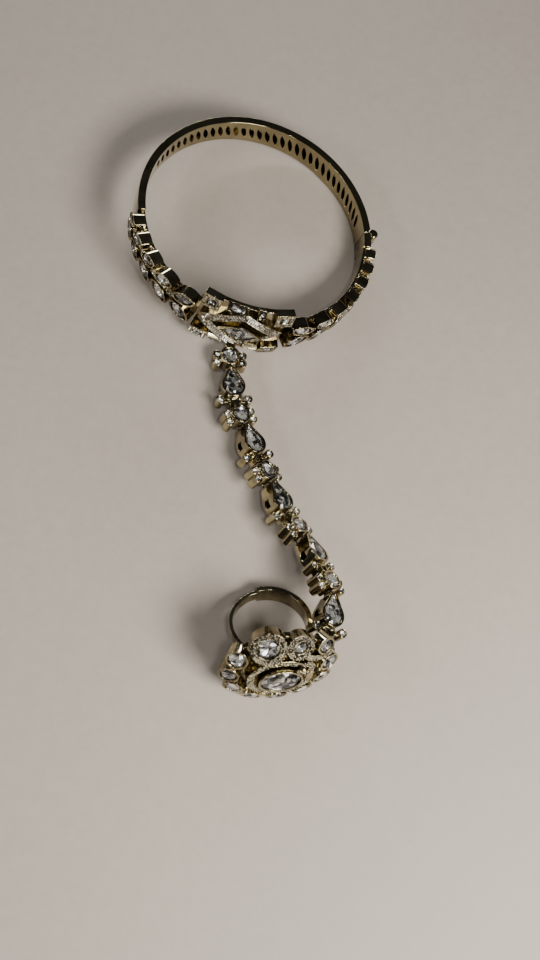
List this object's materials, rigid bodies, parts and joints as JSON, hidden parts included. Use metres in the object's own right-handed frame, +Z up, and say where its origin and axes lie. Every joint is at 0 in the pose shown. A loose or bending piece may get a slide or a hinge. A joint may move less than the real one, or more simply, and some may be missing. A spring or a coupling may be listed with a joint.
{
  "type": "hand chain bracelet with finger ring",
  "caption": "Openable stone-set bangle joined by a chain of stone-set links to a large domed finger ring, lying on a table.",
  "frame": {"origin": "middle of the wrist opening, on its axis, half way up the back band", "axes": "+Z is up from the table that the bracelet lies on, -Y runs from the bangle along the chain to the finger ring"},
  "size_m": [0.0661, 0.1464, 0.0228],
  "materials": {
    "antique_gold": "dark antique gold plating, polished edges and darkened hollows",
    "polished_gold": "high polish antique gold plating",
    "kundan_stone": "clear cut glass over silver foil",
    "pave_stone": "small clear cut stones over gold"
  },
  "bodies": {
    "front": {"front_frame": "antique_gold", "hinge_pin": "polished_gold", "round_link_1": "antique_gold", "round_link_2": "antique_gold", "round_link_3": "antique_gold", "round_link_4": "antique_gold", "round_link_5": "antique_gold", "pear_link_1": "antique_gold", "pear_link_2": "antique_gold", "pear_link_3": "antique_gold", "pear_link_4": "antique_gold", "pear_link_5": "antique_gold", "jump_rings": "polished_gold", "ring_body": "antique_gold", "leaf_stones_left_1": "kundan_stone", "leaf_stones_left_2": "kundan_stone", "leaf_stones_left_3": "kundan_stone", "leaf_stones_left_4": "kundan_stone", "leaf_stones_left_5": "kundan_stone", "leaf_stones_right_1": "kundan_stone", "leaf_stones_right_2": "kundan_stone", "leaf_stones_right_3": "kundan_stone", "leaf_stones_right_4": "kundan_stone", "leaf_stones_right_5": "kundan_stone", "leaf_stones_right_6": "kundan_stone", "leaf_stones_right_7": "kundan_stone", "bud_stones": "kundan_stone", "motif_centre_stone": "kundan_stone", "motif_baguette_stones": "kundan_stone", "motif_corner_stones": "kundan_stone", "round_stone_1": "kundan_stone", "round_stone_2": "kundan_stone", "round_stone_3": "kundan_stone", "round_stone_4": "kundan_stone", "round_stone_5": "kundan_stone", "pear_stone_1": "kundan_stone", "pear_stone_2": "kundan_stone", "pear_stone_3": "kundan_stone", "pear_stone_4": "kundan_stone", "pear_stone_5": "kundan_stone", "link_side_stones": "kundan_stone", "ring_centre_stone": "kundan_stone", "ring_stone_1": "kundan_stone", "ring_stone_2": "kundan_stone", "ring_stone_3": "kundan_stone", "ring_stone_4": "kundan_stone", "ring_stone_5": "kundan_stone", "ring_stone_6": "kundan_stone", "ring_stone_7": "kundan_stone", "ring_stone_8": "kundan_stone", "ring_stone_9": "kundan_stone", "ring_stone_10": "kundan_stone", "ring_stone_11": "kundan_stone", "motif_pave": "pave_stone", "ring_pave": "pave_stone"},
    "back": {"back_band": "polished_gold"}
  },
  "joints": [
    {"name": "back_opening", "type": "hinge", "parent": "front", "child": "back", "pos_m": [0.0303, 0.00538, -0.00451], "axis": [-0.133, -0.0788, -0.988], "range_deg": [0, 70]}
  ]
}
